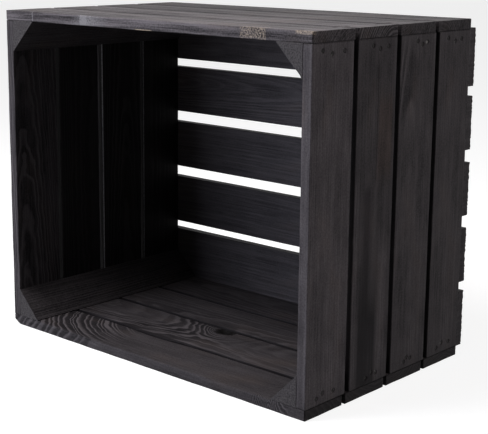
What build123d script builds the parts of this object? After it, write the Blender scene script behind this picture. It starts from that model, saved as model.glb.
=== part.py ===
# Slatted wooden apple crate, lying on one of its long sides with its open face to the front.
#
# X runs along the width, Y from the open front to the slatted back, Z up. The origin is the middle
# of the underside. Four boards make each of the four sides, five slats close the back, and a
# triangular post stands in each inner corner. Every board is nailed to the posts, and the slats
# are nailed to the rear edges of the end boards. All sizes are in millimetres.
import os

from build123d import *

# Overall width; the height and the depth follow from the boards and slats below
box_width = 500.0  # length of the top and bottom boards

# Side boards, four to a side
board_width = 70.5
board_gap = 6.0
left_gap_ratio = (3, 4, 3)  # how the left end's open space is shared out, front to back
long_thickness = 12.5  # top and bottom boards
end_thickness = 12.5  # upright end boards
board_ease = 0.8  # width of the flat on every sawn edge

# Back slats
slat_width = 67.0
slat_gap = 15.0
slat_thickness = 12.5
slat_lap = 1.5  # how far the outer slats lie over the rear edges of the long boards
slat_gap_ratio = (3, 4, 4, 3)  # how the open space between the slats is shared out

# How far each sawn piece is over or under its nominal width
top_variation = (2.0, 1.5, -1.0, 0.0)  # front to back
bottom_variation = (-4.5, 3.0, 1.5, 2.5)
left_variation = (-0.5, -2.0, 2.5, 0.0)
right_variation = (0.0, 1.0, -1.0, -4.0)
slat_variation = (3.5, 1.0, -0.5, -1.5, 3.0)  # bottom to top

# Corner posts: right-angled triangles in section
post_leg = 36.0
post_variation = {"top_left": 3.5, "top_right": 0.0, "bottom_left": 0.0, "bottom_right": 0.0}
post_ease = 1.2  # flat on the two thin edges

# Nails, sunk below the surface
head_radius = 2.4
head_sides = 8
head_height = 1.2
head_sink = 0.8
shank_width = 2.2
tip_cover = 3.0  # wood left beyond a nail's tip
long_nail_inset = 9.5  # from the inner face of the end boards to the nails of the long boards
long_nail_shares = (0.12, 0.88)  # across a long board
end_nail_setbacks = (8.0, 12.0, 10.0)  # from the end of an end board
upper_nail_shares = ((0.25, 0.47, 0.77), (0.38, 0.56, 0.77), (0.47, 0.61, 0.74), (0.28, 0.50, 0.70))
lower_nail_shares = ((0.28, 0.43, 0.70), (0.43, 0.58, 0.70), (0.40, 0.48, 0.58), (0.30, 0.47, 0.70))
slat_nail_shares = (0.25, 0.75)  # across a slat

# Worked out from the sizes above
side_depth = len(top_variation) * (board_width + board_gap) - board_gap
stack_height = len(slat_variation) * (slat_width + slat_gap) - slat_gap
front = -(side_depth + slat_thickness) / 2  # plane of the open front
rear = front + side_depth  # plane of the boards' rear edges, where the slats lie
back = rear + slat_thickness
half_width = box_width / 2
inner_half = half_width - end_thickness
inner_low = long_thickness
inner_high = inner_low + stack_height - 2 * slat_lap
box_height = inner_high + long_thickness
nail_length = end_thickness + post_leg - max(end_nail_setbacks) - tip_cover - head_sink

# Planes of the outer faces, each looking away from the crate
top_face = Plane(origin=(0, 0, box_height), x_dir=(1, 0, 0), z_dir=(0, 0, 1))
bottom_face = Plane(origin=(0, 0, 0), x_dir=(1, 0, 0), z_dir=(0, 0, -1))
left_face = Plane(origin=(-half_width, 0, 0), x_dir=(0, 1, 0), z_dir=(-1, 0, 0))
right_face = Plane(origin=(half_width, 0, 0), x_dir=(0, 1, 0), z_dir=(1, 0, 0))
back_face = Plane(origin=(0, back, 0), x_dir=(1, 0, 0), z_dir=(0, 1, 0))


def side_by_side(width, variation, low, high, ratio=None):
    """Start and end of each piece, laid from low to high with the spare room shared out as gaps."""
    ratio = ratio or (1,) * (len(variation) - 1)
    widths = [width + extra for extra in variation]
    spare = high - low - sum(widths)
    spans = []
    start = low
    for piece, share in zip(widths, (*ratio, 0)):
        spans.append((start, start + piece))
        start += piece + spare * share / sum(ratio)
    return spans


def along(span, share):
    """The point at a share of the way across a span."""
    return span[0] + share * (span[1] - span[0])


top_spans = side_by_side(board_width, top_variation, front, rear)
bottom_spans = side_by_side(board_width, bottom_variation, front, rear)
left_spans = side_by_side(board_width, left_variation, front, rear, left_gap_ratio)
right_spans = side_by_side(board_width, right_variation, front, rear)
slat_low = inner_low - slat_lap
slat_high = inner_high + slat_lap
slat_spans = side_by_side(slat_width, slat_variation, slat_low, slat_high, slat_gap_ratio)


def save(part, name):
    """Label a finished piece and write its file."""
    part.label = name
    export_step(part, f"parts/{name}.step")


# Nails: where they go, then the nails themselves and the holes that they fill


def long_spots(spans, height):
    """Nails of the top or bottom boards: two at each end of each board."""
    row = inner_half - long_nail_inset
    return [(x, along(s, k), height) for s in spans for k in long_nail_shares for x in (-row, row)]


def end_spots(spans, side):
    """Nails of the end boards on one side: a staggered row of three at each end of each board."""
    spots = []
    for span, upper, lower in zip(spans, upper_nail_shares, lower_nail_shares):
        for high_share, low_share, setback in zip(upper, lower, end_nail_setbacks):
            spots.append((side, along(span, high_share), inner_high - setback))
            spots.append((side, along(span, low_share), inner_low + setback))
    return spots


def slat_spots(spans):
    """Nails of the slats: two at each end, over the middle of the end boards' rear edges."""
    row = half_width - end_thickness / 2
    return [(x, back, along(s, k)) for s in spans for k in slat_nail_shares for x in (-row, row)]


def nail_solids(face, spots, head_top):
    """Nails driven in through a face, their heads starting at a depth below it."""
    places = [face.to_local_coords(Vector(*spot)) for spot in spots]
    seat = head_sink + head_height
    with BuildPart() as nails:
        with BuildSketch(face.offset(-head_top)):
            with Locations(*places):
                RegularPolygon(head_radius, head_sides)
        extrude(amount=-(seat - head_top))
        with BuildSketch(face.offset(-seat)):
            with Locations(*places):
                Rectangle(shank_width, shank_width)
        extrude(amount=-(nail_length - head_height))
    return nails.part


os.makedirs("parts", exist_ok=True)

nail_rows = {
    "top_board_nails": (top_face, long_spots(top_spans, box_height)),
    "bottom_board_nails": (bottom_face, long_spots(bottom_spans, 0)),
    "left_end_nails": (left_face, end_spots(left_spans, -half_width)),
    "right_end_nails": (right_face, end_spots(right_spans, half_width)),
    "slat_nails": (back_face, slat_spots(slat_spans)),
}
nail_holes = {}
for row_name, (face, spots) in nail_rows.items():
    save(nail_solids(face, spots, head_sink), row_name)
    nail_holes[row_name] = nail_solids(face, spots, 0)

# Top and bottom boards: full width, over the ends of the end boards
for side, spans, low in (("top", top_spans, inner_high), ("bottom", bottom_spans, 0)):
    for number, (near, far) in enumerate(spans, start=1):
        with BuildPart() as long_board:
            with BuildSketch(Plane.XY.offset(low)):
                with Locations((0, (near + far) / 2)):
                    Rectangle(box_width, far - near)
            extrude(amount=long_thickness)
            chamfer(long_board.edges(), length=board_ease)
            add(nail_holes[f"{side}_board_nails"], mode=Mode.SUBTRACT)
        save(long_board.part, f"{side}_board_{number}")

# End boards: upright, butted between the top and bottom boards
for side, spans, low in (("left", left_spans, -half_width), ("right", right_spans, inner_half)):
    for number, (near, far) in enumerate(spans, start=1):
        with BuildPart() as end_board:
            with BuildSketch(Plane.XY.offset(inner_low)):
                with Locations((low + end_thickness / 2, (near + far) / 2)):
                    Rectangle(end_thickness, far - near)
            extrude(amount=inner_high - inner_low)
            chamfer(end_board.edges(), length=board_ease)
            add(nail_holes[f"{side}_end_nails"], mode=Mode.SUBTRACT)
            if far == spans[-1][1]:
                add(nail_holes["slat_nails"], mode=Mode.SUBTRACT)
        save(end_board.part, f"{side}_end_board_{number}")

# Corner posts: triangular battens over the full depth, one in each inner corner
for level, corner_z, into_z in (("top", inner_high, -1), ("bottom", inner_low, 1)):
    for side, corner_x, into_x in (("left", -inner_half, 1), ("right", inner_half, -1)):
        leg = post_leg + post_variation[f"{level}_{side}"]
        tip_x = corner_x + into_x * leg
        tip_z = corner_z + into_z * leg
        with BuildPart() as post:
            with BuildSketch(Plane.XZ.offset(-rear)):
                with BuildLine():
                    Polyline(
                        (corner_x, corner_z),
                        (tip_x, corner_z),
                        (tip_x, corner_z + into_z * post_ease),
                        (corner_x + into_x * post_ease, tip_z),
                        (corner_x, tip_z),
                        close=True,
                    )
                make_face()
            extrude(amount=side_depth)
            add(nail_holes[f"{level}_board_nails"], mode=Mode.SUBTRACT)
            add(nail_holes[f"{side}_end_nails"], mode=Mode.SUBTRACT)
        save(post.part, f"post_{level}_{side}")

# Back slats: across the rear edges of the end boards, flush with their outer faces; the lowest and
# the highest also lap the rear edges of the long boards
for number, (low, high) in enumerate(slat_spans, start=1):
    with BuildPart() as slat:
        with BuildSketch(Plane.XZ.offset(-back)):
            with Locations((0, (low + high) / 2)):
                Rectangle(box_width, high - low)
        extrude(amount=slat_thickness)
        chamfer(slat.edges(), length=board_ease)
        add(nail_holes["slat_nails"], mode=Mode.SUBTRACT)
    save(slat.part, f"back_slat_{number}")
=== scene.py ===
# A slatted apple crate of black-stained softwood, lying on a long side with its open face to the front.
# The places of the nails come first, because every board is dented round them. The sections then follow
# the crate as it is nailed together: bottom boards, corner posts, end boards, top boards, back slats and
# nails. The floor, the lights and the camera come last.
import math

import bpy
import numpy as np
from mathutils import Euler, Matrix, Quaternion, Vector


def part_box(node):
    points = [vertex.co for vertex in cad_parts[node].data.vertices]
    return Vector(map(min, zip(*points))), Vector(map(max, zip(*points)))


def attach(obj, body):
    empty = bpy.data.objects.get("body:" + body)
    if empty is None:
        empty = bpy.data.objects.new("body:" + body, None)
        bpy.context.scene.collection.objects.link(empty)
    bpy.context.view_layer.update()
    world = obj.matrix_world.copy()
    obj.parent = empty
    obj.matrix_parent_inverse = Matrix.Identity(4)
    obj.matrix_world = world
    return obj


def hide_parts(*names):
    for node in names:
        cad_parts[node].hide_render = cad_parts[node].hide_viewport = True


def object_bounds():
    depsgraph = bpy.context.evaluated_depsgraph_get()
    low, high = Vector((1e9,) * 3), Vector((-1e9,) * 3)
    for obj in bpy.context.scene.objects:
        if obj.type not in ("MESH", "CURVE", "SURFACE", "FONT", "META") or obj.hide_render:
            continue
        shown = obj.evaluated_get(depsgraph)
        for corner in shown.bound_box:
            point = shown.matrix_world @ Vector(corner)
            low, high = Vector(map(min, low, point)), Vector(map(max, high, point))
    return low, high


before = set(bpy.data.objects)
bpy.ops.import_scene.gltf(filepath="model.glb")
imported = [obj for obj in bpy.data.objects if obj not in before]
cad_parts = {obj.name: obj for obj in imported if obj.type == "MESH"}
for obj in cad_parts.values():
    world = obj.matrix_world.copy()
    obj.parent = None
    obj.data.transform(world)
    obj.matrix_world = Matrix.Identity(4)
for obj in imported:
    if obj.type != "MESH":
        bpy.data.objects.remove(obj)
cad_box = [list(corner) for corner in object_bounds()]
front = cad_box[0][1]  # plane of the open front
top = cad_box[1][2]
half = cad_box[1][0]  # half of the width

# ---------------------------------------------------------------------------------------------
# Nail places. Every board is held by sunk wire nails, so each board below is dented round the
# heads that enter it. A head's place is the middle of its ring of corners in the nails' solids.


def head_centres(node, axis, outer):
    """Centres of the nail heads of a node: its corners nearest the outer face, gathered into heads by
    their distance from one another, and averaged."""
    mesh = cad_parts[node].data
    corners = np.empty(len(mesh.vertices) * 3)
    mesh.vertices.foreach_get("co", corners)
    corners = corners.reshape(-1, 3)
    reach = corners[:, axis].max() if outer > 0 else corners[:, axis].min()
    corners = np.unique(corners[np.abs(corners[:, axis] - reach) < 1e-4].round(6), axis=0)
    head_width = 0.006
    centres = []
    while len(corners):
        near = np.linalg.norm(corners - corners[0], axis=1) < head_width
        centres.append(corners[near].mean(axis=0))
        corners = corners[~near]
    return np.array(centres)


heads = {
    "top": head_centres("top_board_nails", 2, 1),
    "bottom": head_centres("bottom_board_nails", 2, -1),
    "left": head_centres("left_end_nails", 0, -1),
    "right": head_centres("right_end_nails", 0, 1),
    "back": head_centres("slat_nails", 1, 1),
}

# ---------------------------------------------------------------------------------------------
# Bottom boards: four planed softwood boards, 12.5 mm thick, laid under the end boards over the
# full width. The front one has the broken corner at the left and wild grain over its left half,
# the second one has a knot that has fallen out.


def grid_lines(low, high, step, ease, spots=()):
    """Places of the grid lines along one edge of a board: evenly spaced by about step, at the tangents
    of equal angles inside the eased edge at each end, and six more across each spot."""
    reach = 0.0028  # from the middle of a spot to its last line
    arc = ease * (1 - np.tan(np.radians([45, 32, 17, 0])))
    guard = ease + 0.0003
    count = max(2, round((high - low) / step))
    even = np.linspace(low + guard, high - guard, count + 1)
    spots = np.asarray(spots, dtype=float).reshape(-1, 1)
    close = (spots + reach * np.array([-1, -0.7, -0.35, 0.35, 0.7, 1])).ravel()
    close = close[(close > low + guard) & (close < high - guard)]
    places = np.sort(np.concatenate([low + arc, even, close, high - arc]))
    return places[np.append(True, np.diff(places) > 1e-5)]


def box_skin(lines):
    """The six faces of a box as one closed grid: the points of three sets of lines that lie on its
    skin, and quads between neighbours, wound outwards."""
    shape = [len(line) for line in lines]
    skin = np.zeros(shape, dtype=bool)
    for axis in range(3):
        np.moveaxis(skin, axis, 0)[[0, -1]] = True
    index = np.full(shape, -1)
    index[skin] = np.arange(skin.sum())
    points = np.stack(np.meshgrid(*lines, indexing="ij"), axis=-1)[skin]
    quads = []
    for axis in range(3):
        for end in (0, -1):
            sheet = index.take(end, axis=axis)
            ring = [sheet[:-1, :-1], sheet[1:, :-1], sheet[1:, 1:], sheet[:-1, 1:]]
            if (end == 0) != (axis == 1):
                ring.reverse()
            quads.append(np.stack([corner.ravel() for corner in ring], axis=1))
    return points, np.concatenate(quads)


def ease_edges(points, low, high, radius):
    """A sharp box's points moved onto one with rounded edges: what a point has beyond the box that is
    smaller by the radius all round is set to the radius in length. Also gives the normals, and how
    near each point is to an edge, from 0 to 1."""
    radius = radius[:, None]
    inner = np.clip(points, low + radius, high - radius)
    beyond = points - inner
    normals = beyond / np.linalg.norm(beyond, axis=1, keepdims=True)
    edge = np.sort(np.abs(normals), axis=1)[:, 1] * math.sqrt(2)
    return inner + normals * radius, normals, edge


def ripple(points, size, seed):
    """A smooth random field from 0 to 1: twelve cosine waves of random direction and phase, added,
    with wavelengths near the three sizes given."""
    draw = np.random.default_rng(seed)
    waves = draw.normal(size=(12, 3)) * (2.2 / np.asarray(size))
    total = np.cos(points @ waves.T + draw.uniform(0, 2 * np.pi, 12)).sum(axis=1)
    return np.clip(0.5 + total / 10, 0, 1)


def set_in_place(name, mesh, node):
    """The finished piece, put where its solid was on the crate's one body."""
    piece = bpy.data.objects.new(name, mesh)
    bpy.context.scene.collection.objects.link(piece)
    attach(piece, "root")
    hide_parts(node)


def plank(name, node, material, step, ease, nails, face, seed, shape=None):
    """One sawn board that fills its solid's box: a closed grid with worn edges, faces a little uneven
    and pressed in round the nails. nails are the head centres, all on one face given as (axis, sign).
    shape may move the points further, inwards."""
    low, high = (np.array(corner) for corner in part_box(node))
    inside = np.all((nails > low - 0.002) & (nails < high + 0.002), axis=1)
    nails = nails[inside]
    axis, sign = face
    spots = [nails[:, k] if k != axis else () for k in range(3)]
    widest = 1.7 * ease
    lines = [grid_lines(low[k], high[k], step[k], widest, spots[k]) for k in range(3)]
    flat, quads = box_skin(lines)
    wear = ripple(flat, (0.03, 0.03, 0.03), seed)
    points, normals, edge = ease_edges(flat, low, high, ease * (0.4 + 1.2 * wear))
    hollows, chips = 0.00016, 0.0003
    uneven = hollows * ripple(flat, (0.05, 0.05, 0.05), seed + 1)
    uneven += chips * edge * ripple(flat, (0.007, 0.007, 0.007), seed + 2)
    points -= normals * uneven[:, None]
    pressed = np.zeros(len(points))
    dent_reach, dent_rim, dent_depth = 0.0031, 0.001, 0.00115
    if len(nails):
        centres = nails.copy()
        centres[:, axis] = high[axis] if sign > 0 else low[axis]
        away = np.linalg.norm(flat[:, None] - centres[None], axis=2).min(axis=1)
        pressed = np.clip((dent_reach - away) / dent_rim, 0, 1)
        points[:, axis] -= sign * dent_depth * pressed
    if shape:
        points = shape(points, flat, low, high)
    mesh = bpy.data.meshes.new(name)
    mesh.from_pydata(points, [], quads)
    mesh.polygons.foreach_set("use_smooth", np.ones(len(quads), dtype=bool))
    for label, values in (("edge", edge), ("pressed", pressed)):
        mesh.attributes.new(label, "FLOAT", "POINT").data.foreach_set("value", values)
    mesh.materials.append(material)
    set_in_place(name, mesh, node)


def put(tree, kind, inputs=(), **settings):
    """One shader node with its settings. inputs are pairs of a socket's name or number and a value,
    or an output to link from."""
    made = tree.nodes.new("ShaderNode" + kind)
    for key, value in settings.items():
        setattr(made, key, value)
    for key, value in inputs:
        if isinstance(value, bpy.types.NodeSocket):
            tree.links.new(value, made.inputs[key])
        else:
            made.inputs[key].default_value = value
    return made


def bare_material(name):
    """A new material and its node tree, emptied."""
    material = bpy.data.materials.new(name)
    material.use_nodes = True
    material.node_tree.nodes.clear()
    return material, material.node_tree


def calc(tree, operation, first, second=0.0, third=0.0, clamp=False):
    """The output of one Math node."""
    inputs = [(0, first), (1, second), (2, third)]
    return put(tree, "Math", inputs, operation=operation, use_clamp=clamp).outputs[0]


def shift(tree, operation, first, second):
    """The vector output of one Vector Math node."""
    return put(tree, "VectorMath", [(0, first), (1, second)], operation=operation).outputs[0]


def length(tree, vector):
    """The length of a vector."""
    return put(tree, "VectorMath", [(0, vector)], operation="LENGTH").outputs["Value"]


def noise(tree, place, scale, detail=2.0, roughness=0.5):
    """A Noise node read at a place stretched by three scales, less a half, so that it goes from about
    -0.3 to 0.3."""
    settings = [("Vector", shift(tree, "MULTIPLY", place, scale)), ("Scale", 1.0)]
    settings += [("Detail", detail), ("Roughness", roughness)]
    return calc(tree, "SUBTRACT", put(tree, "TexNoise", settings).outputs["Fac"], 0.5)


def blend(tree, factor, first, second, way="MIX"):
    """The output of a Mix node for colours."""
    made = put(tree, "Mix", data_type="RGBA", blend_type=way)
    for key, value in ((0, factor), (6, first), (7, second)):
        if isinstance(value, bpy.types.NodeSocket):
            tree.links.new(value, made.inputs[key])
        else:
            made.inputs[key].default_value = value if key == 0 else (*value, 1.0)
    return made.outputs[2]


def span(tree, value, low, high, start=0.0, end=1.0):
    """A value mapped from one range to another, held at its ends."""
    return put(tree, "MapRange", [(0, value), (1, low), (2, high), (3, start), (4, end)]).outputs[0]


def patch(tree, place, low, high, soft):
    """1 inside a box, falling to 0 over three soft distances outside it."""
    inside = None
    for k in range(3):
        rise = span(tree, place[k], low[k] - soft[k], low[k])
        fall = span(tree, place[k], high[k], high[k] + soft[k], 1.0, 0.0)
        both = calc(tree, "MULTIPLY", rise, fall)
        inside = both if inside is None else calc(tree, "MULTIPLY", inside, both)
    return inside


quarter = math.pi / 2
grain_turns = {"x": (0, 0, 0), "y": (0, 0, -quarter), "z": (0, quarter, 0)}


def stained_softwood(name, node, grain, pith, lean=(0.0, 0.0), spacing=0.0034, wild=0.008,
                     crimp=0.001, tone=1.0, rings=0.2, ends=0.5, fibres=0.8, streaks=0.8, cloud=0.6,
                     speckle=0.6, worn=0.3, arris_shade=0.0, flank_shade=0.6, knots=(), figures=(), marks=(),
                     stains=()):
    """Softwood under thin black stain. The growth rings are cylinders about the pith, which lies at
    pith metres across the board from its middle and leans by two angles. They are spacing apart and are
    bent by wild in long waves and by crimp in short ones, so they show as arches, stripes or end-grain
    arcs by how the board cuts them. Late wood takes less stain and shows lighter: rings is how much,
    ends how much on the end grain, and figures are boxes (low, high, soft, how much) where it shows
    more. knots are (along, across, out, size, rings, open) in the grain's own axes; the hollow of an open
    knot is painted near black, as painted shade. tone multiplies the wood's colours. fibres, streaks,
    cloud and speckle are how far the stain varies from fibre to fibre, in runs along the grain, in soft
    clouds and in fine dots. worn is how far the arrises are rubbed pale, arris_shade how far they are
    darkened by painted shade, and flank_shade how much darker the sawn long edges are painted, as
    painted shade in the gaps between boards; the end grain is darker too, as it drinks more stain. The
    dents round the nails are painted darker, as painted shade. marks are (low, high, soft, colour,
    strength) and stains (low, high, soft, factor), boxes in the crate's axes that are painted, or made
    darker or lighter; some marks are painted light."""
    material, tree = bare_material(name)
    where = put(tree, "TexCoord").outputs["Object"]
    place = put(tree, "SeparateXYZ", [(0, where)]).outputs

    # the board's own axes, X along the grain, and the log's, about the pith
    low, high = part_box(node)
    extent = high - low
    turn = Euler(grain_turns[grain])
    middle = (low + high) / 2
    middle.rotate(turn)
    lay = [("Vector", where), ("Location", -middle), ("Rotation", turn)]
    own = put(tree, "Mapping", lay).outputs[0]
    tilt = [("Vector", own), ("Location", (0, -pith[0], -pith[1])), ("Rotation", (0, lean[0], lean[1]))]
    log = put(tree, "Mapping", tilt).outputs[0]

    # bends of the grain, in long waves and short ones
    bends = None
    for scale, size in (((3.0, 16.0, 16.0), wild), ((45.0, 60.0, 60.0), crimp)):
        wave_at = shift(tree, "MULTIPLY", own, scale)
        wave = put(tree, "TexNoise", [("Vector", wave_at), ("Scale", 1.0), ("Detail", 1.5)])
        wave = shift(tree, "SUBTRACT", wave.outputs["Color"], (0.5, 0.5, 0.5))
        wave = shift(tree, "MULTIPLY", wave, (0, size, size))
        bends = shift(tree, "ADD", bends, wave) if bends else wave
    bent = shift(tree, "ADD", own, bends)

    # growth rings: how many lie between the pith and here, crowded round the knots
    radius = length(tree, shift(tree, "MULTIPLY", shift(tree, "ADD", log, bends), (0, 1, 1)))
    years = put(tree, "CombineXYZ", [(0, radius)]).outputs[0]
    count = calc(tree, "DIVIDE", radius, spacing)
    count = calc(tree, "MULTIPLY_ADD", noise(tree, years, (90, 90, 90), 1.0), 3.0, count)
    knot_hollow_shade = None
    for along, over, out, size, extra, is_open in knots:
        away = shift(tree, "SUBTRACT", bent, (along, over, out))
        far = length(tree, shift(tree, "MULTIPLY", away, (0.7 / size, 1 / size, 0.25 / size)))
        swell = calc(tree, "DIVIDE", extra, calc(tree, "ADD", far, 1.0))
        count = calc(tree, "ADD", count, swell)
        if is_open:
            torn = calc(tree, "ADD", far, noise(tree, own, (300, 300, 300)))
            knot_hollow_shade = span(tree, torn, 0.8, 1.05, 1.0, 0.0)
    ramp = put(tree, "ValToRGB", [(0, calc(tree, "FRACT", count))])
    stops = ramp.color_ramp.elements
    stops[0].color = (0, 0, 0, 1)
    stops[1].color = (0.05, 0.05, 0.05, 1)
    for at, shade in ((0.45, 0.1), (0.75, 0.95), (0.9, 0.8)):
        stops.new(at).color = (shade, shade, shade, 1)
    late = calc(tree, "SUBTRACT", ramp.outputs[0], 0.38)
    own_place = put(tree, "SeparateXYZ", [(0, own)]).outputs
    half_long = extent["xyz".index(grain)] / 2
    end = span(tree, calc(tree, "ABSOLUTE", own_place[0]), half_long - 0.0016, half_long - 0.0008)
    show = calc(tree, "MULTIPLY_ADD", noise(tree, own, (4, 22, 22)), 2.4 * rings, rings)
    for low_corner, high_corner, soft, amount in figures:
        inside = patch(tree, place, low_corner, high_corner, soft)
        show = calc(tree, "MULTIPLY_ADD", inside, amount, show)
    show = put(tree, "Mix", [(0, end), (2, show), (3, ends)]).outputs[0]
    late = calc(tree, "MULTIPLY", late, show)

    # fibres, streaks where the stain ran or was wiped, cloudy uptake, and the saw's fine speckle
    fibre = noise(tree, bent, (14, 620, 620), 3.0, 0.6)
    value = calc(tree, "MULTIPLY_ADD", fibre, fibres, 0.42)
    value = calc(tree, "MULTIPLY_ADD", noise(tree, bent, (4, 90, 90), 4.0, 0.7), streaks, value)
    value = calc(tree, "MULTIPLY_ADD", noise(tree, own, (14, 25, 25), 5.0, 0.65), cloud, value)
    grit = noise(tree, where, (480, 480, 480), 3.0, 0.7)
    value = calc(tree, "MULTIPLY_ADD", grit, speckle, value)
    value = calc(tree, "ADD", value, late, clamp=True)
    deep = tuple(tone * c for c in (0.0125, 0.0112, 0.0125))
    pale = tuple(tone * c for c in (0.088, 0.079, 0.084))
    colour = blend(tree, value, deep, pale)
    bare = span(tree, noise(tree, own, (11, 30, 30)), 0.06, 0.28)
    brown = tuple(tone * c for c in (0.085, 0.060, 0.045))
    colour = blend(tree, calc(tree, "MULTIPLY", bare, 0.2), colour, brown)

    # painted shade on the long sawn edges at the gaps, end grain darker with stain, arrises where it has
    # rubbed thin, and painted shade along the arrises; a board that stands on edge has its width along Z
    on_edge = extent.y < 0.02
    half_wide = (extent.z if on_edge else extent.y) / 2
    from_middle = calc(tree, "ABSOLUTE", own_place[2 if on_edge else 1])
    shaded_flank = span(tree, from_middle, half_wide - 0.0012, half_wide - 0.0004)
    shaded_flank = calc(tree, "MULTIPLY", shaded_flank, flank_shade)
    flank_shade_and_end_soak = calc(tree, "MAXIMUM", shaded_flank, calc(tree, "MULTIPLY", end, 0.5))
    colour = blend(tree, flank_shade_and_end_soak, colour, (0.007, 0.006, 0.007))
    edge = put(tree, "Attribute", attribute_name="edge").outputs["Fac"]
    rub = span(tree, noise(tree, where, (60, 60, 60), 3.0), 0.0, 0.2)
    rub = calc(tree, "MULTIPLY", calc(tree, "MULTIPLY", rub, edge), worn)
    colour = blend(tree, rub, colour, (0.13, 0.118, 0.117))
    # painted shade along the arrises
    colour = blend(tree, calc(tree, "MULTIPLY", edge, arris_shade), colour, (0.006, 0.005, 0.006))

    # runs of stain, ragged along the fibres, scuffs and painted light in dots, then painted shade in the
    # open knot's hollow and in the nails' dents
    for low_corner, high_corner, soft, factor in stains:
        inside = patch(tree, place, low_corner, high_corner, soft)
        ragged = calc(tree, "MULTIPLY_ADD", fibre, 2.0, inside, clamp=True)
        inside = calc(tree, "MULTIPLY", inside, ragged)
        colour = blend(tree, 1.0, colour, blend(tree, inside, (1, 1, 1), factor), "MULTIPLY")
    for low_corner, high_corner, soft, paint, strength in marks:
        inside = patch(tree, place, low_corner, high_corner, soft)
        ragged = calc(tree, "MULTIPLY_ADD", grit, 2.5, strength, clamp=True)
        colour = blend(tree, calc(tree, "MULTIPLY", inside, ragged), colour, paint)
    # painted shade: the hollow of the open knot is painted near black
    if knot_hollow_shade is not None:
        colour = blend(tree, knot_hollow_shade, colour, (0.004, 0.0035, 0.0035))
    # painted shade: the dents round the nails are painted darker
    pressed = put(tree, "Attribute", attribute_name="pressed").outputs["Fac"]
    colour = blend(tree, calc(tree, "MULTIPLY", pressed, 0.85), colour, (0.006, 0.005, 0.005))

    # raised fibres and late wood, and a dull finish
    height = calc(tree, "MULTIPLY_ADD", fibre, 0.6, calc(tree, "MULTIPLY_ADD", grit, 0.5, late))
    bump = put(tree, "Bump", [("Height", height), ("Strength", 0.4), ("Distance", 0.0006)]).outputs[0]
    gloss = span(tree, value, 0.0, 1.0, 0.62, 0.5)
    surface = put(tree, "BsdfPrincipled", [("Base Color", colour), ("Roughness", gloss), ("Normal", bump)])
    surface.inputs["Specular IOR Level"].default_value = 0.05
    put(tree, "OutputMaterial", [(0, surface.outputs[0])])
    return material


board_ease = 0.0008
long_step = (0.005, 0.0035, 0.003)
# rear boards: painted shade on their arrises and on the long edges that face the gaps
rear_board = dict(tone=0.85, arris_shade=0.8, worn=0.0, flank_shade=0.8)
lost_knot = (0.0075, 0.0305)  # from the middle of the second board
bottom_looks = (
    dict(pith=(0.077, 0.031), lean=(0.81, 0.0), spacing=0.006, rings=0.03, wild=0.010, crimp=0.005,
         tone=0.82, speckle=1.2, arris_shade=0.5, worn=0.2, flank_shade=0.0, streaks=0.7,
         knots=((0.198, -0.028, 0.0, 0.010, 22, False),),
         figures=(((-0.24, front + 0.004, 0), (-0.14, front + 0.07, 0.02), (0.09, 0.01, 0.01), 1.3),
                  ((0.182, front, 0), (0.22, front + 0.035, 0.02), (0.012, 0.015, 0.01), 0.8))),
    dict(pith=(0.02, 0.05), lean=(0.03, -0.02), spacing=0.0045, rings=0.25, crimp=0.006,
         knots=((*lost_knot, 0.006, 0.011, 24, True),),
         figures=(((-0.06, front + 0.10, 0), (0.01, front + 0.15, 0.02), (0.03, 0.01, 0.01), 0.8),
                  ((-0.2, front + 0.07, 0), (0.0, front + 0.095, 0.02), (0.05, 0.005, 0.01), 0.5)),
         **rear_board),
    dict(pith=(-0.03, 0.06), lean=(-0.03, 0.01), rings=0.4, crimp=0.004, **rear_board),
    dict(pith=(0.01, -0.05), lean=(0.02, 0.02), rings=0.35, crimp=0.004, **rear_board),
)
right_end_soak = (0.4, 0.38, 0.39)


def curved_seam(points, flat, shore):
    """The long edge at y = shore moved up to 4.5 mm to the front in a bell-shaped curve about
    x = -45 mm, as the two boards were sawn along one bent edge. The shift fades out over 20 mm."""
    reach, peak, spread, fade = 0.0045, -0.045, 0.05, 0.02
    bell = np.exp(-((flat[:, 0] - peak) / spread) ** 2)
    points[:, 1] -= reach * bell * np.clip(1 - np.abs(flat[:, 1] - shore) / fade, 0, 1)
    return points


def broken_corner(points, flat, low, high):
    """The front left corner split off below: points beyond a slanting plane are set back onto it. The
    rear edge follows the curved seam."""
    points = curved_seam(points, flat, high[1])
    slant = np.array([-0.48, -0.12, -0.87])
    slant /= np.linalg.norm(slant)
    start = low + np.array([0.011, 0.0, 0.0])
    over = np.clip((points - start) @ slant, 0, None)
    return points - over[:, None] * slant


def knot_hole(points, flat, low, high):
    """The hollow of the lost knot, in the upper face near the rear edge: an oval bowl with a ragged
    rim, 4 mm deep. The front edge follows the curved seam."""
    points = curved_seam(points, flat, low[1])
    centre = (low + high) / 2 + np.array([*lost_knot, 0])
    out = np.hypot((flat[:, 0] - centre[0]) / 0.0105, (flat[:, 1] - centre[1]) / 0.0062)
    out += 0.35 * ripple(flat, (0.006, 0.006, 0.006), 5) - 0.17
    upper = flat[:, 2] > high[2] - 1e-5
    depth, wall = 0.004, 0.4
    points[:, 2] -= upper * depth * np.clip((1 - out) / wall, 0, 1)
    return points


for number, look in enumerate(bottom_looks, start=1):
    node = f"bottom_board_{number}"
    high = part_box(node)[1]
    look["stains"] = (((high.x - 0.001, front, 0), high, (0.0006, 0.001, 0.001), right_end_soak),)
    material = stained_softwood(f"stained_bottom_board_{number}", node, "x", **look)
    plank(f"bottom_plank_{number}", node, material, long_step, board_ease,
          heads["bottom"], (2, -1), seed=10 + number, shape={1: broken_corner, 2: knot_hole}.get(number))

# ---------------------------------------------------------------------------------------------
# Corner posts: square battens sawn in two along the diagonal, one in each inner corner over the
# full depth. Their sawn faces are rougher than the planed boards.


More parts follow.
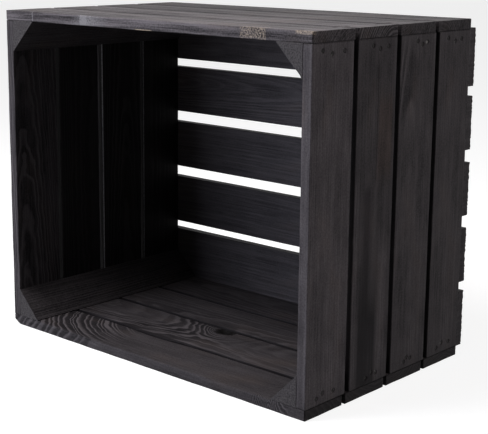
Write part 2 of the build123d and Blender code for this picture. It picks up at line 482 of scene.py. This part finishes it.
def batten(name, node, material, corner, into, seed):
    """A triangular prism along Y: its outline is the two legs and the slope between their ends, with
    the thin ends cut blunt, carried from front to rear and closed by a face at each end. corner is the
    right angle's (x, z), into the signs towards the inside."""
    low, high = (np.array(c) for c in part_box(node))
    leg, blunt, ease = high[0] - low[0], 0.0012, 0.0007
    depth = grid_lines(low[1], high[1], 0.005, ease)
    slope = np.linspace(0, 1, 17)[:, None]
    tips = np.array([[leg, blunt], [blunt, leg]])
    outline = np.concatenate([
        np.array([[0, 0], [leg / 2, 0], [leg, 0]]),
        tips[0] + slope * (tips[1] - tips[0]),
        np.array([[0, leg], [0, leg / 2]]),
    ])
    middle = outline.mean(axis=0)
    from_end = np.minimum(depth - low[1], high[1] - depth)
    inset = ease - np.sqrt(np.clip(ease**2 - np.clip(ease - from_end, 0, None) ** 2, 0, None))
    ring = outline[None] + (middle - outline)[None] / leg * 2 * inset[:, None, None]
    around = len(outline)
    points = np.empty((len(depth), around, 3))
    points[..., 0] = corner[0] + into[0] * ring[..., 0]
    points[..., 1] = depth[:, None]
    points[..., 2] = corner[1] + into[1] * ring[..., 1]
    points = points.reshape(-1, 3)
    sawn = np.zeros((len(depth), around))
    sawn[:, 4:-3] = 1  # the slope between its ends
    saw_depth = 0.0004
    rough = ripple(points, (0.02, 0.004, 0.02), seed) + ripple(points, (0.05, 0.03, 0.05), seed)
    rough = saw_depth * rough
    inwards = -np.array([into[0], 0, into[1]]) / math.sqrt(2)
    points += (rough * sawn.ravel())[:, None] * inwards
    index = np.arange(len(depth) * around).reshape(len(depth), around)
    after = np.roll(index, -1, axis=1)
    sides = np.stack([index[:-1], index[1:], after[1:], after[:-1]], axis=-1).reshape(-1, 4)
    faces = [*sides.tolist(), index[0].tolist(), index[-1, ::-1].tolist()]
    if into[0] * into[1] > 0:
        faces = [face[::-1] for face in faces]
    mesh = bpy.data.meshes.new(name)
    mesh.from_pydata(points, [], faces)
    mesh.materials.append(material)
    set_in_place(name, mesh, node)


sawn_batten = dict(speckle=1.2, ends=0.1, flank_shade=0.0)
post_looks = {
    "top_left": dict(pith=(0.03, -0.02), tone=0.7, **sawn_batten),
    "top_right": dict(pith=(-0.03, 0.03), tone=1.0, **sawn_batten),
    "bottom_left": dict(pith=(0.02, 0.03), tone=0.7, rings=0.4, **sawn_batten),
    "bottom_right": dict(pith=(0.03, 0.02), tone=1.0, **sawn_batten),
}
# painted light: the front end faces of the posts are painted paler, where the light from the front falls
painted_front_light = (0.076, 0.070, 0.071)
for seed, (spot, look) in enumerate(post_looks.items(), start=31):
    node = f"post_{spot}"
    low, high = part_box(node)
    front_face = (high.x, front + 0.0004, high.z)
    look["marks"] = ((low, front_face, (0.001, 0.0004, 0.001), painted_front_light, 0.4),)
    is_top, is_left = spot.startswith("top"), spot.endswith("left")
    corner = (low.x if is_left else high.x, high.z if is_top else low.z)
    into = (1 if is_left else -1, -1 if is_top else 1)
    material = stained_softwood(f"stained_{node}", node, "y", **look)
    batten(f"{spot}_batten", node, material, corner, into, seed)

# ---------------------------------------------------------------------------------------------
# End boards: four upright boards at each end, butted between the top and bottom boards and
# nailed into the posts by a staggered row of three at each end. The stain has run down the
# outside of the right end. The left end's three rear boards are painted much darker, as painted shade
# inside the crate, and two of its gaps carry thin lines of painted light.
end_step = (0.003, 0.0035, 0.005)
board_thickness = 0.0125
outer = half - 0.003
inner = board_thickness - half
board_3, board_4 = (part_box(f"left_end_board_{number}")[0].y for number in (3, 4))
# painted light: thin pale lines on the inner front arrises of the two rear left boards, where light falls
# in through the gaps
gap_light_lines = (
    ((inner - 0.001, board_3, 0), (inner, board_3 + 0.001, 1), (0.0002, 0.0003, 1),
     (0.3, 0.3, 0.32), 0.9),
    ((inner - 0.001, board_4, 0), (inner, board_4 + 0.0007, 1), (0.0002, 0.0002, 1),
     (0.15, 0.15, 0.16), 0.7),
)


def right_end_box(y, z, soft):
    """A box through the outer face of the right end: its reach back from the front and its reach in
    height, and how softly it ends both ways."""
    return (outer, front + y[0], z[0]), (half, front + y[1], z[1]), (1, *soft)


# the long edges of the rear right boards are painted darker, as painted shade in the gaps
right_face = dict(speckle=0.9, flank_shade=0.8)
end_looks = {
    "left": (
        dict(pith=(-0.02, 0.03), lean=(0.05, 0.02), rings=0.5, crimp=0.004, tone=0.95, flank_shade=0.0),
        # the three rear boards: a low tone, as painted shade inside the crate
        dict(pith=(0.03, 0.05), rings=0.4, crimp=0.003, tone=0.22, flank_shade=0.9),
        dict(pith=(0.01, 0.03), lean=(0.03, 0.0), rings=0.7, crimp=0.003, tone=0.22, flank_shade=0.9,
             marks=gap_light_lines[:1]),
        dict(pith=(-0.03, 0.05), rings=0.4, tone=0.2, flank_shade=0.9, marks=gap_light_lines[1:]),
    ),
    "right": (
        dict(pith=(0.10, 0.04), rings=0.08, tone=1.25, streaks=0.4, cloud=1.0, speckle=0.9, flank_shade=0.0),
        dict(pith=(0.02, 0.07), rings=0.1, tone=0.74, streaks=0.6, cloud=1.2,
             stains=(
                 (*right_end_box((0.093, 0.121), (0, 0.09), (0.007, 0.09)), (0.12, 0.1, 0.12)),
                 (*right_end_box((0.098, 0.107), (0.10, 0.235), (0.007, 0.02)), (0.4, 0.37, 0.4)),
                 (*right_end_box((0.116, 0.117), (0.25, 0.37), (0.001, 0.02)), (0.5, 0.45, 0.45)),
                 (*right_end_box((0.128, 0.142), (0.03, 0.16), (0.004, 0.04)), (1.4, 1.4, 1.4)),
                 (*right_end_box((0.080, 0.086), (0.03, 0.24), (0.003, 0.04)), (1.35, 1.35, 1.35)),
                 (*right_end_box((0.120, 0.143), (0.26, 0.33), (0.004, 0.03)), (1.1, 0.95, 0.85)),
             ),
             **right_face),
        dict(pith=(-0.012, 0.035), lean=(0.05, 0.0), rings=0.08, tone=0.86, streaks=0.5, cloud=1.2,
             figures=((*right_end_box((0.157, 0.180), (0.33, 0.375), (0.01, 0.03)), 0.5),),
             **right_face),
        dict(pith=(0.09, 0.06), rings=0.08, tone=0.84, streaks=0.4, cloud=1.0, **right_face),
    ),
}
for side, sign in (("left", -1), ("right", 1)):
    for number, look in enumerate(end_looks[side], start=1):
        node = f"{side}_end_board_{number}"
        material = stained_softwood(f"stained_{node}", node, "z", **look)
        plank(f"{side}_end_plank_{number}", node, material, end_step, board_ease,
              heads[side], (0, sign), seed=40 + 10 * sign + number)

# ---------------------------------------------------------------------------------------------
# Top boards: like the bottom ones, over the end boards. The front edge of the first is scuffed
# and has lost its stain in places.
low_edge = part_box("top_board_1")[0].z
tan = (0.42, 0.34, 0.26)
grey = (0.17, 0.163, 0.17)
scuffs = (  # left to right along the front edge
    ((-0.1976, front, low_edge), (-0.1968, front + 0.0004, top), (0.0004, 0.0004, 1), grey, 0.9),
    ((-0.1065, front, low_edge), (-0.095, front + 0.0004, top), (0.001, 0.0004, 1), grey, 0.9),
    ((-0.095, front, low_edge), (-0.085, front + 0.0004, top), (0.03, 0.0004, 1), grey, 0.6),
    ((-0.008, front, low_edge), (0.014, front + 0.0008, low_edge + 0.0006), (0.004, 0.0004, 0.0008),
     tan, 1.0),
    ((0.152, front, low_edge), (0.187, front + 0.010, top), (0.001, 0.006, 1), tan, 0.15),
    ((0.229, front, top - 0.003), (0.249, front + 0.004, top), (0.003, 0.003, 0.001), tan, 0.3),
)
handled = dict(rings=0.15, fibres=2.0, speckle=1.6)
# rear top boards: painted shade along their arrises
top_rear = dict(streaks=2.6, arris_shade=0.6, **handled)
# the tone falls from the front board to the rear one, as painted sheen on the top, lightest at the front
top_looks = (
    dict(pith=(0.05, -0.05), tone=1.35, streaks=2.4, flank_shade=0.0, marks=scuffs, **handled),
    dict(pith=(0.032, -0.022), tone=1.3, spacing=0.0032, ends=1.3, **top_rear),
    dict(pith=(-0.04, 0.03), tone=0.95, spacing=0.0028, ends=0.6, **top_rear),
    dict(pith=(-0.03, -0.02), tone=0.8, ends=0.6, **top_rear),
)
for number, look in enumerate(top_looks, start=1):
    node = f"top_board_{number}"
    material = stained_softwood(f"stained_{node}", node, "x", **look)
    plank(f"top_plank_{number}", node, material, long_step, board_ease,
          heads["top"], (2, 1), seed=60 + number)

# ---------------------------------------------------------------------------------------------
# Back slats: five rough-sawn slats nailed over the rear edges of the end boards. Their ends were
# cut across with a coarse saw and are torn, the right ones more.
slat_step = (0.005, 0.003, 0.0028)
slat_ease = 0.0005
rough_slat = dict(streaks=0.6, ends=0.0)
slat_looks = (
    dict(pith=(-0.05, 0.02), rings=0.12, tone=0.9, **rough_slat),
    dict(pith=(-0.04, 0.00), rings=0.12, tone=0.9, **rough_slat),
    dict(pith=(-0.05, 0.03), rings=0.12, tone=1.0, **rough_slat),
    dict(pith=(-0.03, 0.01), lean=(0.0, 0.06), rings=0.25, tone=1.1, **rough_slat),
    dict(pith=(-0.05, -0.02), rings=0.12, tone=1.1, **rough_slat),
)


def torn_ends(seed):
    """A shape that sets both sawn ends of a slat back by a ragged depth: random steps about a
    millimetre apart over the width and the thickness, faded in over the last 4 mm."""
    draw = np.random.default_rng(seed)
    over_width, over_thickness = draw.uniform(0, 1, 60), draw.uniform(0, 1, 14)

    def shape(points, flat, low, high):
        for sign, face, reach in ((1, high[0], 0.0016), (-1, low[0], 0.0012)):
            near = np.clip(1 - np.abs(flat[:, 0] - face) / 0.004, 0, 1)
            z = (flat[:, 2] - low[2]) / (high[2] - low[2]) * (len(over_width) - 1)
            y = (flat[:, 1] - low[1]) / (high[1] - low[1]) * (len(over_thickness) - 1)
            rough = 0.7 * np.interp(z, np.arange(len(over_width)), over_width)
            rough += 0.3 * np.interp(y, np.arange(len(over_thickness)), over_thickness)
            points[:, 0] -= sign * near * reach * rough
        return points

    return shape


for number, look in enumerate(slat_looks, start=1):
    node = f"back_slat_{number}"
    material = stained_softwood(f"stained_{node}", node, "x", **look)
    plank(f"slat_{number}", node, material, slat_step, slat_ease,
          heads["back"], (1, 1), seed=80 + number, shape=torn_ends(90 + number))

# ---------------------------------------------------------------------------------------------
# Nails: round wire nails of dull steel, driven just below the surface and stained over. Two hold
# each end of a long board or a slat, and three each end of an end board.


def nail_row(name, node, centres, axis, sign, material):
    """Every nail of a row in one mesh: a profile of radius against depth, turned about each centre. The
    head is slightly domed, the shank ends in a point."""
    low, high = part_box(node)
    reach = high[axis] - low[axis]
    head, shank = 0.0023, 0.00105
    depth = np.array([0, 0.00008, 0.0003, 0.001, 0.0012, 0.0013, reach - 0.003, reach])
    radius = np.array([0.17, 0.6, 0.97, 1.0, 0.85, 0, 0, 0]) * head
    radius[5:] = shank, shank, 0.0001
    around = np.linspace(0, 2 * np.pi, 20, endpoint=False)
    ring = np.empty((len(depth), len(around), 3))
    sides = [k for k in range(3) if k != axis]
    ring[..., axis] = -sign * depth[:, None]
    ring[..., sides[0]] = radius[:, None] * np.cos(around)
    ring[..., sides[1]] = radius[:, None] * np.sin(around)
    one = ring.reshape(-1, 3)
    index = np.arange(len(one)).reshape(len(depth), len(around))
    after = np.roll(index, -1, axis=1)
    quads = np.stack([index[:-1], after[:-1], after[1:], index[1:]], axis=-1).reshape(-1, 4)
    faces = [*quads.tolist(), index[0, ::-1].tolist(), index[-1].tolist()]
    right_handed = sign if axis != 1 else -sign
    if right_handed > 0:
        faces = [face[::-1] for face in faces]
    points = (centres[:, None] + one[None]).reshape(-1, 3)
    every = [[corner + k * len(one) for corner in face] for k in range(len(centres)) for face in faces]
    mesh = bpy.data.meshes.new(name)
    mesh.from_pydata(points, [], every)
    mesh.polygons.foreach_set("use_smooth", np.ones(len(every), dtype=bool))
    mesh.materials.append(material)
    set_in_place(name, mesh, node)


def nail_steel():
    """Dull steel, mostly under the stain, which has worn off in spots."""
    material, tree = bare_material("stained_nail_steel")
    where = put(tree, "TexCoord").outputs["Object"]
    spots = span(tree, noise(tree, where, (90, 90, 90), 3.0), 0.12, 0.2)
    colour = blend(tree, spots, (0.008, 0.007, 0.007), (0.14, 0.135, 0.13))
    surface = put(tree, "BsdfPrincipled", [("Base Color", colour), ("Roughness", 0.5), ("Metallic", 0.4)])
    surface.inputs["Specular IOR Level"].default_value = 0.15
    put(tree, "OutputMaterial", [(0, surface.outputs[0])])
    return material


steel = nail_steel()
for side, node, axis, sign in (
    ("top", "top_board_nails", 2, 1),
    ("bottom", "bottom_board_nails", 2, -1),
    ("left", "left_end_nails", 0, -1),
    ("right", "right_end_nails", 0, 1),
    ("back", "slat_nails", 1, 1),
):
    nail_row(f"{side}_wire_nails", node, heads[side], axis, sign, steel)

# ---------------------------------------------------------------------------------------------
# Floor and background: one plain white, with the crate's soft shadow on the floor. Both show white
# by themselves to the camera and in reflections, and light the crate hardly at all.


def seen_rays(tree):
    """1 for what the camera sees, directly, in a reflection or through glass, else 0."""
    path = put(tree, "LightPath").outputs
    seen = calc(tree, "ADD", path["Is Camera Ray"], path["Is Glossy Ray"])
    return calc(tree, "ADD", seen, path["Is Transmission Ray"], clamp=True)


def white_floor():
    """Matt pale grey that gives off enough light towards the camera to show white, so that only its
    shadow shows."""
    material, tree = bare_material("white_floor")
    paint = put(tree, "BsdfDiffuse", [("Color", (0.3, 0.3, 0.3, 1))]).outputs[0]
    strength = calc(tree, "MULTIPLY", seen_rays(tree), 0.85)
    glow = put(tree, "Emission", [("Color", (1, 1, 1, 1)), ("Strength", strength)]).outputs[0]
    both = put(tree, "AddShader", [(0, paint), (1, glow)]).outputs[0]
    put(tree, "OutputMaterial", [(0, both)])
    return material


floor_mesh = bpy.data.meshes.new("floor")
corners = np.array([(-1, -1, 0), (1, -1, 0), (1, 1, 0), (-1, 1, 0)]) * 20.0
floor_mesh.from_pydata(corners, [], [(0, 1, 2, 3)])
floor_mesh.materials.append(white_floor())
floor = bpy.data.objects.new("floor", floor_mesh)
bpy.context.scene.collection.objects.link(floor)

world = bpy.data.worlds.new("white_studio")
world.use_nodes = True
tree = world.node_tree
tree.nodes.clear()
strength = span(tree, seen_rays(tree), 0.0, 1.0, 0.015, 1.0)
sky = put(tree, "Background", [("Color", (1, 1, 1, 1)), ("Strength", strength)])
put(tree, "OutputWorld", [(0, sky.outputs[0])])
bpy.context.scene.world = world

# ---------------------------------------------------------------------------------------------
# Lights: three soft lamps. A wide, bluish one stands low in front to the left and fills the inside,
# one hangs high to the left over the top, and one stands at the right for the right end.
middle = sum((Vector(corner) for corner in cad_box), Vector()) / 2


def direction(azimuth, elevation):
    """The way outwards from the crate at an azimuth (0 is the open front, 90 the right end) and an
    elevation in degrees, as a unit vector."""
    turn, rise = math.radians(azimuth), math.radians(elevation)
    return Vector((math.sin(turn) * math.cos(rise), -math.cos(turn) * math.cos(rise), math.sin(rise)))


def soft_lamp(name, azimuth, elevation, distance, size, power, colour):
    """A square area lamp aimed at the middle of the crate."""
    away = direction(azimuth, elevation)
    data = bpy.data.lights.new(name, "AREA")
    data.size, data.energy, data.color = size, power, colour
    lamp = bpy.data.objects.new(name, data)
    lamp.location = middle + away * distance
    lamp.rotation_euler = away.to_track_quat("Z", "Y").to_euler()
    bpy.context.scene.collection.objects.link(lamp)


soft_lamp("front_left", -26, 8, 2.6, 1.4, 58, (0.80, 0.86, 1.0))
soft_lamp("above_left", -35, 58, 1.6, 0.8, 31, (1.0, 0.97, 0.96))
soft_lamp("right_side", 98, 30, 2.6, 1.2, 24, (1.0, 0.95, 0.95))

# ---------------------------------------------------------------------------------------------
# Camera: a long lens in front to the right, a little above, the frame set low and to the right
# of its axis.
aim = Vector((0.0166, -0.0466, 0.2060))
distance = 1.5
tilt = Quaternion((0, 0, 1), math.radians(0.325))
away = direction(42.921, 11.628)
lens = bpy.data.cameras.new("camera")
lens.lens = 89.87
lens.shift_x = 0.057
lens.shift_y = -0.0579
camera = bpy.data.objects.new("camera", lens)
camera.location = aim + away * distance
camera.rotation_euler = (away.to_track_quat("Z", "Y") @ tilt).to_euler()
bpy.context.scene.collection.objects.link(camera)
bpy.context.scene.camera = camera
bpy.context.scene.view_settings.view_transform = "Standard"
